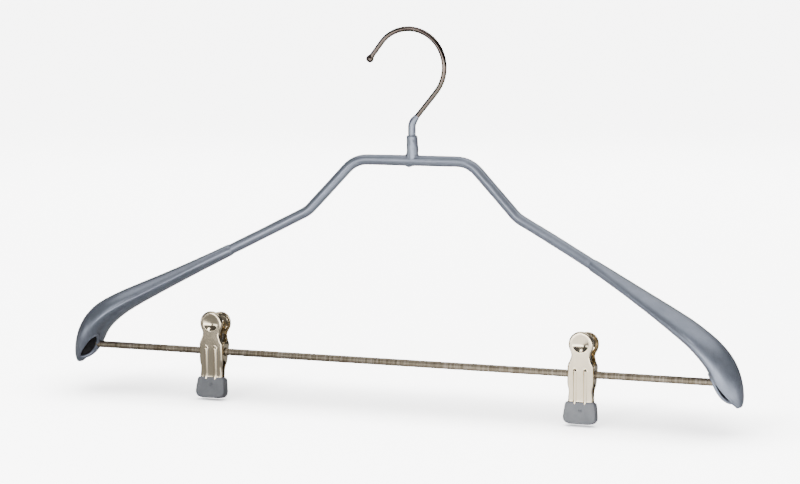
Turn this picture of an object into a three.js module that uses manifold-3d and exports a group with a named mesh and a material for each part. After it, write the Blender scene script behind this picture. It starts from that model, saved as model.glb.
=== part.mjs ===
// A clothes hanger for a shop rail: a swivelling wire hook, a coated wire frame that ends in two hollow,
// body-shaped shoulders, a ribbed bar between them, and two spring clips that slide along the bar.
//
// Millimetres. The origin is the rail seat, the inside top of the hook, on the hook's stem axis.
// +Z is up, X runs along the bar, and -Y is the front, the side that the shoulders sweep towards.

import * as THREE from 'three';
import { mergeVertices } from 'three/addons/utils/BufferGeometryUtils.js';
import Module from 'manifold-3d';

const wasm = await Module();
wasm.setup();

// ---- Driving dimensions -------------------------------------------------------------------------------------

// Hook. Heights in this block and the next are above the frame's top bar, at its wire's centre.
const HOOK_WIRE = 3.0;
const HOOK_RADIUS = 22.9;
const HOOK_CENTRE = { x: -1.9, z: 55.9 };
const HOOK_START_ANGLE = THREE.MathUtils.degToRad(132);
const HOOK_END_ANGLE = THREE.MathUtils.degToRad(-37);
const HOOK_TIP = { x: -26.6, z: 60.8 };
const HOOK_BALL = 4.6;
const STEM_BEND_HEIGHT = 22.6;
const STEM_BEND_RADIUS = 6;
const SWIVEL_HEAD = { diameter: 4.0, bottom: 9.2, top: 11.6 };
const RAIL_SEAT_HEIGHT = HOOK_CENTRE.z + HOOK_RADIUS - HOOK_WIRE / 2;

// Neck, where the hook turns in the frame.
const NECK = { diameter: 6.5, top: 15.1, flareDiameter: 8.4, flareTop: 5.0, chamfer: 0.7 };
const NECK_TUBE = { diameter: 4.9, bore: 4.3, floor: 3.6, lipBottom: 12.0, lipBore: 3.3, top: 14.8 };
const STEM_COAT = { diameter: 4.6, bottom: 15.4, top: 28 };

// Frame wire: its bends in the XZ plane, from the middle outwards.
const FRAME_WIRE = 4.5;
const FRAME_COAT = 6.4;
const UPPER_BEND = { x: 36.6, z: 0 };
const LOWER_BEND = { x: 67.3, z: -32.2 };
const COLLAR = { x: 115.1, z: -56.5 };
const WIRE_PAST_COLLAR = 8;
const BEND_RADIUS = 18;

// The whole frame sweeps forward: SWEEP_DEPTH at SWEEP_REACH from the middle, growing with this power until
// SWEEP_STEADY, from where it levels off over about SWEEP_FADE.
const SWEEP_DEPTH = 49;
const SWEEP_REACH = 200;
const SWEEP_POWER = 2.45;
const SWEEP_STEADY = 165;
const SWEEP_FADE = 22;

// Shoulder form: rails along its top and its underside, and half its width across, from collar to tip.
const SHOULDER_TOP = [
  [116.7, -53.3], [133, -61.1], [152, -69.8], [170, -77.6], [184, -84.0],
  [196, -91.0], [204.5, -100.5], [209, -111.5], [210.2, -121.5], [209.2, -126.8],
];
const SHOULDER_UNDERSIDE = [
  [113.5, -59.7], [130, -68.5], [148, -78.4], [165, -88.2], [179.5, -97.5],
  [190, -107.8], [194, -116.8], [198.6, -122.6], [203.2, -124.6], [206.4, -127.4],
];
const SHOULDER_HALF_WIDTH = [3.6, 6.4, 9.2, 11.2, 12.2, 12.4, 11.8, 9.6, 6, 2.8];
const SHOULDER_LENGTH = 125;
const WIDEST_LEVEL = 0.36;
const ROUND_UNTIL = 0.3;
const COLLAR_SKEW = 0.22;
const SHOULDER_RING = 16;
const SHOULDER_STATIONS = 18;

// Shoulder walls, from the outside in, and the mouth at the tip's inner underside.
const COAT_WALL = 0.6;
const SHEET_WALL = 0.6;
const CLEARANCE = 0.15;
const MOUTH_CENTRE = new THREE.Vector3(198, -47.4, -116.2);
const MOUTH_LONG_WAY = new THREE.Vector3(9, 1.5, -11);
const MOUTH_ACROSS = new THREE.Vector3(2, 6.5, -9.9);
const MOUTH_HALF_LENGTH = 9.5;
const MOUTH_HALF_WIDTH = 5.4;
const MOUTH_DEPTH = 14;

// Clip bar, with its height below the frame's top bar.
const BAR = { diameter: 4.2, halfLength: 195.3, y: -42, z: -115.3 };
const BAR_HOLE = BAR.diameter + 0.6;

// Clips, in their own frame: the origin on the bar's axis, the front jaw towards -Y. Both hang with their pads
// swung a little to the front.
const CLIP_X = { left: -114, right: 118 };
const CLIP_SWING = THREE.MathUtils.degToRad(-10);
const CLIP_SHEET = 0.8;
const JAW_FACE = [[-2.6, -26.5], [-2.6, -15], [-5.3, 0], [-8.3, 25]];
const JAW_TAB = { radius: 7.25, z: 16.9 };
const JAW_SIDE = [[5.3, 10.4], [6.3, 7.4], [7.65, 4.9], [7.65, -6.1], [6.75, -9.5], [7.3, -15]];
const JAW_TONGUE = [[7.0, -15.5], [7.4, -26.5]];
const RIM_DEPTH = 2.2;
const EAR = { reach: 3.9, halfHeight: 5.9, hole: 5.2, outerX: 7.65, gap: 0.3 };
const PIVOT_TUBE = { diameter: 5.9, bore: 4.9, length: 11 };
const SPRING = { wire: 1.0, radius: 3.6, pitch: 1.35, turns: 4.5, armLength: 11 };
const PAD = {
  top: -15.6, bottom: -28.4, halfTop: 8.75, halfBottom: 10, cornerTop: 2, cornerBottom: 4.5,
  front: -3.4, back: -0.2, bevel: 0.5,
};
const PAD_POCKET = { halfWidth: 7.8, front: -2.9, back: -1.5, floor: -26.9 };

// ---- Materials ----------------------------------------------------------------------------------------------

const material = (color, roughness, metalness) => new THREE.MeshStandardMaterial({ color, roughness, metalness });
const nickel = material(0xb5aa94, 0.22, 1);
const barSteel = material(0x8d8574, 0.35, 1);
const bareSteel = material(0x8a8a88, 0.45, 1);
const coating = material(0x7d828c, 0.5, 0.2);
const padVinyl = material(0x8f9196, 0.6, 0);

// ---- Shared helpers -----------------------------------------------------------------------------------------

function toSolid(geometry) {
  const bare = geometry.clone();
  bare.deleteAttribute('normal');
  bare.deleteAttribute('uv');
  const merged = mergeVertices(bare, 1e-4);
  return new wasm.Manifold(new wasm.Mesh({
    numProp: 3,
    vertProperties: new Float32Array(merged.attributes.position.array),
    triVerts: new Uint32Array(merged.index.array),
  }));
}

function toGeometry(solid) {
  const mesh = solid.getMesh();
  const geometry = new THREE.BufferGeometry();
  geometry.setAttribute('position', new THREE.BufferAttribute(mesh.vertProperties, 3));
  geometry.setIndex(new THREE.BufferAttribute(mesh.triVerts, 1));
  geometry.computeVertexNormals();
  return geometry;
}

function piece(name, geometry, surface) {
  const mesh = new THREE.Mesh(geometry, surface);
  mesh.name = name;
  return mesh;
}

// Mirrors a closed geometry across X = 0 and turns its faces round again.
function mirrored(geometry) {
  const copy = geometry.clone().scale(-1, 1, 1);
  const index = copy.index.array;
  for (let i = 0; i < index.length; i += 3) {
    [index[i], index[i + 1]] = [index[i + 1], index[i]];
  }
  copy.computeVertexNormals();
  return copy;
}

function box(xRange, yRange, zRange) {
  const [width, depth, height] = [xRange, yRange, zRange].map(([low, high]) => high - low);
  const geometry = new THREE.BoxGeometry(width, depth, height);
  return geometry.translate(xRange[0] + width / 2, yRange[0] + depth / 2, zRange[0] + height / 2);
}

// A cylinder along X.
function rod(diameter, length, sides) {
  return new THREE.CylinderGeometry(diameter / 2, diameter / 2, length, sides).rotateZ(Math.PI / 2);
}

// A body of revolution about Z from [radius, height] points that start and end on the axis.
function turned(profile, sides) {
  const points = profile.map(([radius, height]) => new THREE.Vector2(radius, height));
  return new THREE.LatheGeometry(points, sides).rotateX(Math.PI / 2);
}

function sweepAt(x) {
  const past = Math.max(Math.abs(x) - SWEEP_STEADY, 0);
  const reach = Math.min(Math.abs(x), SWEEP_STEADY) + SWEEP_FADE * Math.tanh(past / SWEEP_FADE);
  return -SWEEP_DEPTH * (reach / SWEEP_REACH) ** SWEEP_POWER;
}

// A flat XZ path as a curve in space, bent forward with the frame's sweep if asked.
class WireCurve extends THREE.Curve {
  constructor(path, swept) {
    super();
    this.path = path;
    this.swept = swept;
  }

  getPoint(t, target = new THREE.Vector3()) {
    const flat = this.path.getPointAt(t);
    return target.set(flat.x, this.swept ? sweepAt(flat.x) : 0, flat.y);
  }
}

// A path through corner points with a round bend of the given radius at each inner corner.
function bentPath(corners, radius) {
  const path = new THREE.Path();
  const points = corners.map(({ x, z }) => new THREE.Vector2(x, z));
  path.moveTo(points[0].x, points[0].y);
  for (let i = 1; i < points.length - 1; i += 1) {
    const incoming = points[i].clone().sub(points[i - 1]).normalize();
    const outgoing = points[i + 1].clone().sub(points[i]).normalize();
    const turn = Math.asin(incoming.cross(outgoing));
    const side = Math.sign(turn);
    const setback = radius * Math.tan(Math.abs(turn) / 2);
    const start = points[i].clone().addScaledVector(incoming, -setback);
    const centre = start.clone().add(new THREE.Vector2(-incoming.y, incoming.x).multiplyScalar(side * radius));
    const startAngle = Math.atan2(start.y - centre.y, start.x - centre.x);
    path.lineTo(start.x, start.y);
    path.absarc(centre.x, centre.y, radius, startAngle, startAngle + turn, side < 0);
  }
  path.lineTo(points.at(-1).x, points.at(-1).y);
  return path;
}

function circle(diameter, bore = 0) {
  const shape = new THREE.Shape().absarc(0, 0, diameter / 2, 0, 2 * Math.PI);
  if (bore > 0) {
    shape.holes.push(new THREE.Path().absarc(0, 0, bore / 2, 0, 2 * Math.PI));
  }
  return shape;
}

// Wire or tube along a curve, with an even number of sides.
function drawn(section, curve, steps, sides) {
  return new THREE.ExtrudeGeometry(section, { steps, curveSegments: sides / 2, extrudePath: curve });
}

// ---- Hook ---------------------------------------------------------------------------------------------------

function hookPoint(angle) {
  return {
    x: HOOK_CENTRE.x + HOOK_RADIUS * Math.cos(angle),
    z: HOOK_CENTRE.z + HOOK_RADIUS * Math.sin(angle),
  };
}

// The hook's wire from its tip, over the top, down the slanted stem and into the neck.
function hookPath() {
  const arcStart = hookPoint(HOOK_START_ANGLE);
  const arcEnd = hookPoint(HOOK_END_ANGLE);
  const stem = bentPath(
    [arcEnd, { x: 0, z: STEM_BEND_HEIGHT }, { x: 0, z: SWIVEL_HEAD.bottom }],
    STEM_BEND_RADIUS,
  );
  const path = new THREE.Path();
  path.moveTo(HOOK_TIP.x, HOOK_TIP.z);
  path.lineTo(arcStart.x, arcStart.z);
  path.absarc(HOOK_CENTRE.x, HOOK_CENTRE.z, HOOK_RADIUS, HOOK_START_ANGLE, HOOK_END_ANGLE, true);
  path.curves.push(...stem.curves);
  return path;
}

function hookWire() {
  const wire = toSolid(drawn(circle(HOOK_WIRE), new WireCurve(hookPath(), false), 38, 8));
  const ball = new THREE.SphereGeometry(HOOK_BALL / 2, 10, 8).translate(HOOK_TIP.x, 0, HOOK_TIP.z);
  const head = turned([
    [0, SWIVEL_HEAD.bottom - 0.3], [SWIVEL_HEAD.diameter / 2, SWIVEL_HEAD.bottom - 0.3],
    [SWIVEL_HEAD.diameter / 2, SWIVEL_HEAD.top], [0, SWIVEL_HEAD.top],
  ], 16);
  return toGeometry(wire.add(toSolid(ball)).add(toSolid(head)));
}

// The coating that runs a little way up the stem above the neck.
function stemCoat() {
  const arcEnd = hookPoint(HOOK_END_ANGLE);
  const bend = new THREE.Vector2(0, STEM_BEND_HEIGHT);
  const slant = new THREE.Vector2(arcEnd.x, arcEnd.z).sub(bend).normalize();
  const end = bend.addScaledVector(slant, STEM_COAT.top - STEM_BEND_HEIGHT);
  const path = bentPath(
    [{ x: end.x, z: end.y }, { x: 0, z: STEM_BEND_HEIGHT }, { x: 0, z: STEM_COAT.bottom }],
    STEM_BEND_RADIUS,
  );
  return drawn(circle(STEM_COAT.diameter, HOOK_WIRE + 2 * CLEARANCE), new WireCurve(path, false), 8, 8);
}

// ---- Frame --------------------------------------------------------------------------------------------------

// The way the straight stretch of the frame wire runs into the right collar, in the XZ plane.
function armDirection() {
  return new THREE.Vector2(COLLAR.x - LOWER_BEND.x, COLLAR.z - LOWER_BEND.z).normalize();
}

// The frame wire's centre line from end to end, running the given distance past each collar.
function frameCurve(pastCollar) {
  const arm = armDirection();
  const end = { x: COLLAR.x + pastCollar * arm.x, z: COLLAR.z + pastCollar * arm.y };
  const right = [UPPER_BEND, LOWER_BEND, end];
  const left = right.map(({ x, z }) => ({ x: -x, z })).reverse();
  return new WireCurve(bentPath([...left, ...right], BEND_RADIUS), true);
}

function frameWire() {
  return drawn(circle(FRAME_WIRE), frameCurve(WIRE_PAST_COLLAR), 40, 8);
}

function neckTube() {
  const base = FRAME_WIRE / 2 + 0.3;
  const [outer, bore, lip] = [NECK_TUBE.diameter, NECK_TUBE.bore, NECK_TUBE.lipBore].map((d) => d / 2);
  return turned([
    [0, base], [outer, base], [outer, NECK_TUBE.top], [lip, NECK_TUBE.top],
    [lip, NECK_TUBE.lipBottom], [bore, NECK_TUBE.lipBottom], [bore, NECK_TUBE.floor], [0, NECK_TUBE.floor],
  ], 20);
}

// The dipped coating round the frame wire and the neck, in one skin.
function frameCoat() {
  const neckRadius = NECK.diameter / 2;
  const neck = turned([
    [0, 0], [NECK.flareDiameter / 2, 0], [NECK.flareDiameter / 2, FRAME_COAT / 2], [neckRadius, NECK.flareTop],
    [neckRadius, NECK.top - NECK.chamfer], [neckRadius - NECK.chamfer, NECK.top], [0, NECK.top],
  ], 20);
  const flareLimit = box([-NECK.flareDiameter, NECK.flareDiameter], [-neckRadius, neckRadius], [0, NECK.top + 1]);
  const tubeRadius = NECK_TUBE.diameter / 2 + CLEARANCE;
  const neckBore = turned([[0, 0], [tubeRadius, 0], [tubeRadius, NECK.top + 1], [0, NECK.top + 1]], 20);
  const skin = toSolid(drawn(circle(FRAME_COAT), frameCurve(-0.3), 40, 12));
  const wireSpace = toSolid(drawn(circle(FRAME_WIRE + 2 * CLEARANCE), frameCurve(WIRE_PAST_COLLAR), 40, 8));
  const outside = skin.add(toSolid(neck).intersect(toSolid(flareLimit)));
  return toGeometry(outside.subtract(wireSpace).subtract(toSolid(neckBore)));
}

// ---- Shoulders ----------------------------------------------------------------------------------------------

// A point on a rail at a fraction of its length; below 0 the rail runs on straight, past the collar.
function railPoint(rail, t) {
  const along = Math.max(t, 0);
  return rail.getPoint(along).addScaledVector(rail.getTangent(along), (t - along) * SHOULDER_LENGTH);
}

// The closed surface of the right shoulder, shrunk all round by inset, between two fractions of its length.
function shoulderForm(inset, from, to) {
  const top = new THREE.SplineCurve(SHOULDER_TOP.map(([x, z]) => new THREE.Vector2(x, z)));
  const underside = new THREE.SplineCurve(SHOULDER_UNDERSIDE.map(([x, z]) => new THREE.Vector2(x, z)));
  const width = new THREE.SplineCurve(SHOULDER_HALF_WIDTH.map((value, i) => new THREE.Vector2(i, value)));
  const geometry = new THREE.CylinderGeometry(1, 1, 1, SHOULDER_RING, SHOULDER_STATIONS);
  const position = geometry.attributes.position;
  for (let i = 0; i < position.count; i += 1) {
    const t = from + (to - from) * (position.getY(i) + 0.5);
    const upper = railPoint(top, t);
    const lower = railPoint(underside, t);
    const height = upper.distanceTo(lower);
    const upward = upper.clone().sub(lower).divideScalar(height);
    const formed = THREE.MathUtils.smoothstep(t, 0, ROUND_UNTIL);
    const widestLevel = THREE.MathUtils.lerp(0.5, WIDEST_LEVEL, formed);
    const widest = lower.clone().addScaledVector(upward, widestLevel * height);
    const across = -position.getX(i);
    const level = position.getZ(i);
    const rise = (level > 0 ? 1 - widestLevel : widestLevel) * height;
    const depth = across * Math.max(width.getPoint(Math.max(t, 0)).y - inset, 0.3);
    const place = widest.addScaledVector(upward, level * Math.max(rise - inset, 0.2))
      .addScaledVector(armDirection(), (1 - formed) * depth * COLLAR_SKEW);
    position.setXYZ(i, place.x, sweepAt((upper.x + lower.x) / 2) + depth, place.y);
  }
  return toSolid(geometry);
}

// The oval cutter that opens the shoulder's tip towards the middle, down and to the front.
function mouthCutter() {
  const long = MOUTH_LONG_WAY.clone().normalize();
  const normal = new THREE.Vector3().crossVectors(MOUTH_ACROSS, MOUTH_LONG_WAY).normalize();
  const across = new THREE.Vector3().crossVectors(normal, long);
  const cutter = new THREE.CylinderGeometry(1, 1, MOUTH_DEPTH, 20);
  cutter.scale(MOUTH_HALF_LENGTH, 1, MOUTH_HALF_WIDTH).translate(0, MOUTH_DEPTH / 2, 0);
  cutter.applyMatrix4(new THREE.Matrix4().makeBasis(long, normal, across.negate()));
  return toSolid(cutter.translate(...MOUTH_CENTRE));
}

// One wall of the shoulder, open at the collar, the mouth and the bar hole: the space between an outer form that
// ends at outerTo of the shoulder's length and a hollow that ends at hollowTo.
function shoulderWall(outerInset, outerTo, innerInset, hollowTo) {
  const barHole = toSolid(rod(BAR_HOLE, 20, 20).translate(BAR.halfLength - 4, BAR.y, BAR.z));
  return toGeometry(shoulderForm(outerInset, 0, outerTo)
    .subtract(shoulderForm(innerInset, -0.01, hollowTo))
    .subtract(mouthCutter())
    .subtract(barHole));
}

function shoulderCoat() {
  return shoulderWall(0, 1, COAT_WALL, 0.985);
}

function shoulderShell() {
  const outside = COAT_WALL + CLEARANCE;
  return shoulderWall(outside, 0.98, outside + SHEET_WALL, 0.965);
}

// ---- Clips --------------------------------------------------------------------------------------------------

// One side of the jaw's outline seen from the front, from the top of the tab down to the tongue.
function jawHalfOutline(inset, foot) {
  const radius = JAW_TAB.radius - inset;
  const tab = [];
  for (let i = 0; i <= 6; i += 1) {
    const angle = Math.PI / 2 - (i / 6) * THREE.MathUtils.degToRad(127);
    tab.push([radius * Math.cos(angle), JAW_TAB.z + radius * Math.sin(angle)]);
  }
  return [...tab, ...JAW_SIDE.map(([x, z]) => [x - inset, z]), ...foot];
}

// A block with the jaw's front outline, running the whole depth of the clip.
function jawOutlineBlock(inset, foot) {
  const right = jawHalfOutline(inset, foot);
  const left = right.slice(1).map(([x, z]) => [-x, z]).reverse();
  const outline = [...right, ...left].map(([x, z]) => new THREE.Vector2(x, z));
  const block = new THREE.ExtrudeGeometry(new THREE.Shape(outline), { depth: 20, bevelEnabled: false });
  return toSolid(block.rotateX(Math.PI / 2).translate(0, 5, 0));
}

// A bent sheet across the whole clip that follows the jaw's face, between two depths behind it.
function jawSheet(fromDepth, toDepth, faceFrom = 0) {
  const face = JAW_FACE.slice(faceFrom);
  const front = face.map(([y, z]) => new THREE.Vector2(y + fromDepth, z));
  const back = face.map(([y, z]) => new THREE.Vector2(y + toDepth, z)).reverse();
  const sheet = new THREE.ExtrudeGeometry(new THREE.Shape([...front, ...back]), { depth: 24, bevelEnabled: false });
  const axes = new THREE.Matrix4().makeBasis(
    new THREE.Vector3(0, 1, 0), new THREE.Vector3(0, 0, 1), new THREE.Vector3(1, 0, 0),
  );
  return toSolid(sheet.applyMatrix4(axes).translate(-12, 0, 0));
}

// An ear that reaches back from the jaw's face and round the bar, outerX being its outer side.
function jawEar(outerX) {
  const shape = new THREE.Shape();
  shape.moveTo(JAW_FACE[2][0] + CLIP_SHEET / 2, -EAR.halfHeight);
  shape.lineTo(0, -EAR.halfHeight);
  shape.absellipse(0, 0, EAR.reach, EAR.halfHeight, -Math.PI / 2, Math.PI / 2, false);
  shape.lineTo(JAW_FACE[2][0] + CLIP_SHEET / 2, EAR.halfHeight);
  const ear = new THREE.ExtrudeGeometry(shape, { depth: CLIP_SHEET, bevelEnabled: false, curveSegments: 5 });
  const axes = new THREE.Matrix4().makeBasis(
    new THREE.Vector3(0, 1, 0), new THREE.Vector3(0, 0, 1), new THREE.Vector3(1, 0, 0),
  );
  return toSolid(ear.applyMatrix4(axes).translate(outerX, 0, 0));
}

// A pressed sheet jaw: a dished face with a rim, one outer and one inner ear, and a tongue for the pad.
// Two alike, turned back to back, close round the bar.
function jaw() {
  const plate = jawSheet(0, CLIP_SHEET).intersect(jawOutlineBlock(0, JAW_TONGUE));
  const rim = jawSheet(0, RIM_DEPTH, 1)
    .intersect(jawOutlineBlock(0, []))
    .subtract(jawOutlineBlock(CLIP_SHEET, [[6.4, -20]]));
  const innerEarX = EAR.outerX - 2 * CLIP_SHEET - EAR.gap;
  const otherEarSpace = jawSheet(CLIP_SHEET, 12)
    .intersect(toSolid(box([innerEarX + CLIP_SHEET, 9], [-12, 5], [-6.5, 6.5])));
  const barHole = toSolid(rod(EAR.hole, 24, 14));
  return toGeometry(plate
    .add(rim.subtract(otherEarSpace))
    .add(jawEar(-EAR.outerX))
    .add(jawEar(innerEarX))
    .subtract(barHole));
}

function pivotTube() {
  const section = circle(PIVOT_TUBE.diameter, PIVOT_TUBE.bore);
  const tube = new THREE.ExtrudeGeometry(section, {
    depth: PIVOT_TUBE.length, bevelEnabled: false, curveSegments: 5,
  });
  return tube.rotateY(Math.PI / 2).translate(-PIVOT_TUBE.length / 2, 0, 0);
}

// The torsion spring's wire: up behind the front jaw, round the pivot tube, and up behind the rear jaw.
class SpringCurve extends THREE.Curve {
  getPoint(t, target = new THREE.Vector3()) {
    const coil = 2 * Math.PI * SPRING.radius * SPRING.turns;
    const along = t * (coil + 2 * SPRING.armLength) - SPRING.armLength;
    const wound = THREE.MathUtils.clamp(along / coil, 0, 1);
    const angle = -2 * Math.PI * SPRING.turns * wound;
    const x = SPRING.pitch * SPRING.turns * (wound - 0.5);
    const past = along < 0 ? -along : Math.max(along - coil, 0);
    const lean = Math.sign(along) * past * 0.12;
    return target.set(x, -SPRING.radius * Math.cos(angle) + lean, -SPRING.radius * Math.sin(angle) + past);
  }
}

function spring() {
  return new THREE.ExtrudeGeometry(circle(SPRING.wire), {
    steps: 64, curveSegments: 2, extrudePath: new SpringCurve(),
  });
}

// The dipped vinyl pad on a jaw's tongue.
function pad() {
  const { halfTop, halfBottom, cornerTop, cornerBottom, top, bottom, bevel } = PAD;
  const shape = new THREE.Shape();
  shape.moveTo(0, top - bevel);
  shape.lineTo(halfTop - cornerTop, top - bevel);
  shape.quadraticCurveTo(halfTop - bevel, top - bevel, halfTop - bevel, top - cornerTop);
  shape.lineTo(halfBottom - bevel, bottom + cornerBottom);
  shape.quadraticCurveTo(halfBottom - bevel, bottom + bevel, halfBottom - cornerBottom, bottom + bevel);
  shape.lineTo(cornerBottom - halfBottom, bottom + bevel);
  shape.quadraticCurveTo(bevel - halfBottom, bottom + bevel, bevel - halfBottom, bottom + cornerBottom);
  shape.lineTo(bevel - halfTop, top - cornerTop);
  shape.quadraticCurveTo(bevel - halfTop, top - bevel, cornerTop - halfTop, top - bevel);
  const block = new THREE.ExtrudeGeometry(shape, {
    depth: PAD.back - PAD.front - 2 * bevel, bevelSize: bevel, bevelThickness: bevel, bevelSegments: 2, curveSegments: 4,
  });
  block.rotateX(Math.PI / 2).translate(0, PAD.back - bevel, 0);
  const pocket = box(
    [-PAD_POCKET.halfWidth, PAD_POCKET.halfWidth], [PAD_POCKET.front, PAD_POCKET.back], [PAD_POCKET.floor, 0],
  );
  return toGeometry(toSolid(block).subtract(toSolid(pocket)));
}

function clip(side, x) {
  const group = new THREE.Group();
  group.position.set(x, BAR.y, BAR.z);
  group.rotation.x = CLIP_SWING;
  const rearJaw = piece(`${side}_rear_jaw`, jaw(), nickel);
  const rearPad = piece(`${side}_rear_pad`, pad(), padVinyl);
  rearJaw.rotation.z = Math.PI;
  rearPad.rotation.z = Math.PI;
  group.add(
    piece(`${side}_pivot_tube`, pivotTube(), bareSteel),
    piece(`${side}_spring`, spring(), bareSteel),
    piece(`${side}_front_jaw`, jaw(), nickel),
    piece(`${side}_front_pad`, pad(), padVinyl),
    rearJaw,
    rearPad,
  );
  return group;
}

// ---- Assembly -----------------------------------------------------------------------------------------------

function hanger() {
  const group = new THREE.Group();
  group.position.z = -RAIL_SEAT_HEIGHT;
  const coat = shoulderCoat();
  const shell = shoulderShell();
  group.add(
    piece('hook_wire', hookWire(), nickel),
    piece('stem_coat', stemCoat(), coating),
    piece('frame_wire', frameWire(), bareSteel),
    piece('neck_tube', neckTube(), bareSteel),
    piece('frame_coat', frameCoat(), coating),
    piece('right_shoulder_shell', shell, bareSteel),
    piece('left_shoulder_shell', mirrored(shell), bareSteel),
    piece('right_shoulder_coat', coat, coating),
    piece('left_shoulder_coat', mirrored(coat), coating),
    piece('clip_bar', rod(BAR.diameter, 2 * BAR.halfLength, 16).translate(0, BAR.y, BAR.z), barSteel),
    clip('left', CLIP_X.left),
    clip('right', CLIP_X.right),
  );
  const whole = new THREE.Group();
  whole.add(group);
  return whole;
}

const hangerGroup = hanger();

export default hangerGroup;
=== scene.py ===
"""The looks of a clothes hanger: hook and clips, coated wire frame, hollow shoulders and ribbed bar.

Shapes are worked out in millimetres, with heights above the frame's top bar. They become metres in the
row frame when their meshes are made.
"""

import math

import bmesh
import bpy
import numpy as np
from mathutils import Matrix, Vector
from mathutils.bvhtree import BVHTree
from mathutils.geometry import delaunay_2d_cdt


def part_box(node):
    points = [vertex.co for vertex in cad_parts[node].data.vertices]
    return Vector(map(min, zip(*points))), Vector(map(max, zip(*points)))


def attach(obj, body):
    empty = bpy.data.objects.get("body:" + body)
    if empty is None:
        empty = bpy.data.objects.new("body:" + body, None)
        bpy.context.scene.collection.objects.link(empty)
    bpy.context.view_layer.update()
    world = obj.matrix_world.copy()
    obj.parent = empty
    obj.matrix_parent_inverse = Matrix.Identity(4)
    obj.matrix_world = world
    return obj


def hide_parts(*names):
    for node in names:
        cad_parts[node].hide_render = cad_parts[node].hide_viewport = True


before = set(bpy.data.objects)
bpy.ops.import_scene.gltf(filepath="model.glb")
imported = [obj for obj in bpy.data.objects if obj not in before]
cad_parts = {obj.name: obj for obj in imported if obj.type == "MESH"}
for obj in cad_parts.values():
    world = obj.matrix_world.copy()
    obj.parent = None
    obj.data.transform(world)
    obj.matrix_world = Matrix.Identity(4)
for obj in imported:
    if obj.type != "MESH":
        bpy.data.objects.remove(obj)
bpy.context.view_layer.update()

MM = 0.001
SEED = 7

# ---- Hook and neck ----

# An easing is the number of steps over which a curve is blurred, to soften its corners.
SEAT_HEIGHT = 77.3
HOOK_WIRE_RADIUS = 1.5
HOOK_RADIUS = 22.9
HOOK_CENTRE = (-1.9, 55.9)
HOOK_ANGLES = (math.radians(132), math.radians(-37))
HOOK_TIP = (-26.6, 60.8)
HOOK_BALL_RADIUS = 2.3
HOOK_FILLET = {"from": 1.2, "height": 0.55, "length": 0.5}
HOOK_STEP = 0.35
HOOK_EASING = 7
WIRE_SIDES = 28
STEM_BEND = (0.0, 22.6)
STEM_BEND_RADIUS = 8
STEM_FOOT = 9.2
SLEEVE = {"radius": 2.35, "bottom": 15.2, "top": 28.2, "edge": 0.04, "run_out": 2.6, "step": 0.3}
NECK = {"radius": 3.25, "top": 15.1, "edge": 0.75, "flare_top": 6.2, "flare": 1.7, "sides": 56}
NECK_RUN = 0.75
NECK_CREASE = {"angle": 5.2, "width": 0.2, "height": 0.12, "turning": 1.3}
NECK_RIPPLE = 0.03

# ---- Frame ----

FRAME_RADIUS = 3.2
UPPER_BEND = (36.6, 0.0)
LOWER_BEND = (67.3, -32.2)
COLLAR = (115.1, -56.5)
FRAME_PAST_COLLAR = 3.0
BEND_RADIUS = 18
BEND_POINTS = 24
FRAME_STEP = 0.8
FRAME_SIDES = 40
COAT_WAVES = {"height": 0.05, "short": 6.3, "long": 17}
DRIP = {"x": -2, "width": 1.7, "depth": 0.95}
SWEEP = {"depth": 49, "reach": 200, "power": 2.45, "steady": 165, "fade": 22}

# ---- Shoulders ----

SHOULDER_TOP = [
    (116.7, -53.3), (133, -61.1), (152, -69.8), (170, -77.6), (184, -84.0),
    (196, -91.0), (204.5, -100.5), (209, -111.5), (210.2, -121.5), (209.2, -126.8),
]
SHOULDER_UNDERSIDE = [
    (113.5, -59.7), (130, -68.5), (148, -78.4), (165, -88.2), (179.5, -97.5),
    (190, -107.8), (194, -116.8), (198.6, -122.6), (203.2, -124.6), (206.4, -127.4),
]
SHOULDER_HALF_WIDTH = [3.6, 6.4, 9.2, 11.2, 12.2, 12.4, 11.8, 9.6, 6, 2.8]
SHOULDER_LENGTH = 125
RAIL_SAMPLES = 241
RAIL_EASING = 7
COLLAR_HALF_WIDTH = 3.4
COLLAR_SKEW = 0.22
COLLAR_EDGE = {"depth": 0.4, "length": 0.35}
WIDEST_LEVEL = 0.36
ROUND_UNTIL = 0.3
SQUARENESS = 0.22
SQUARE_UNTIL = 0.8
TIP_FROM = 0.95
TIP_STATIONS = 18
TIP_CLOSES = 0.975
OUTER_MESH = {"start": 0, "end": 1, "stations": 130, "sides": 72}
HOLLOW_MESH = {"start": -0.02, "end": 0.97, "stations": 60, "sides": 48}
WALL = 1.35
DROOP = {"depth": 1.9, "from": 176, "over": 26}

# The mouth's rim, once round: its top, down the front edge to its foot, and back up the rolled lip.
MOUTH_RIM = [
    (192.6, -46.5, -108.0), (195.4, -50.6, -111.3), (198.9, -50.9, -115.5), (202.2, -49.9, -119.6),
    (204.8, -47.6, -123.0), (201.0, -45.0, -124.2), (196.8, -43.8, -123.0), (193.8, -43.1, -119.4),
    (192.1, -43.3, -113.6),
]
MOUTH_POINTS = 96
MOUTH_APEX = (203.5, -42.0, -113.0)
MOUTH_CUTTER_REACH = 2.4
LIP_RADIUS = (0.5, 1.25)
LIP_GROWS = {"from_y": -50.5, "over": 4.5}
LIP_SUNK = 0.45
LIP_SIDES = 16

# ---- Bar and clips ----

BAR = {"step": 0.4, "ribs": 0.05, "undercut": 0.035, "chamfer": 0.4, "sides": 24}

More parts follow.
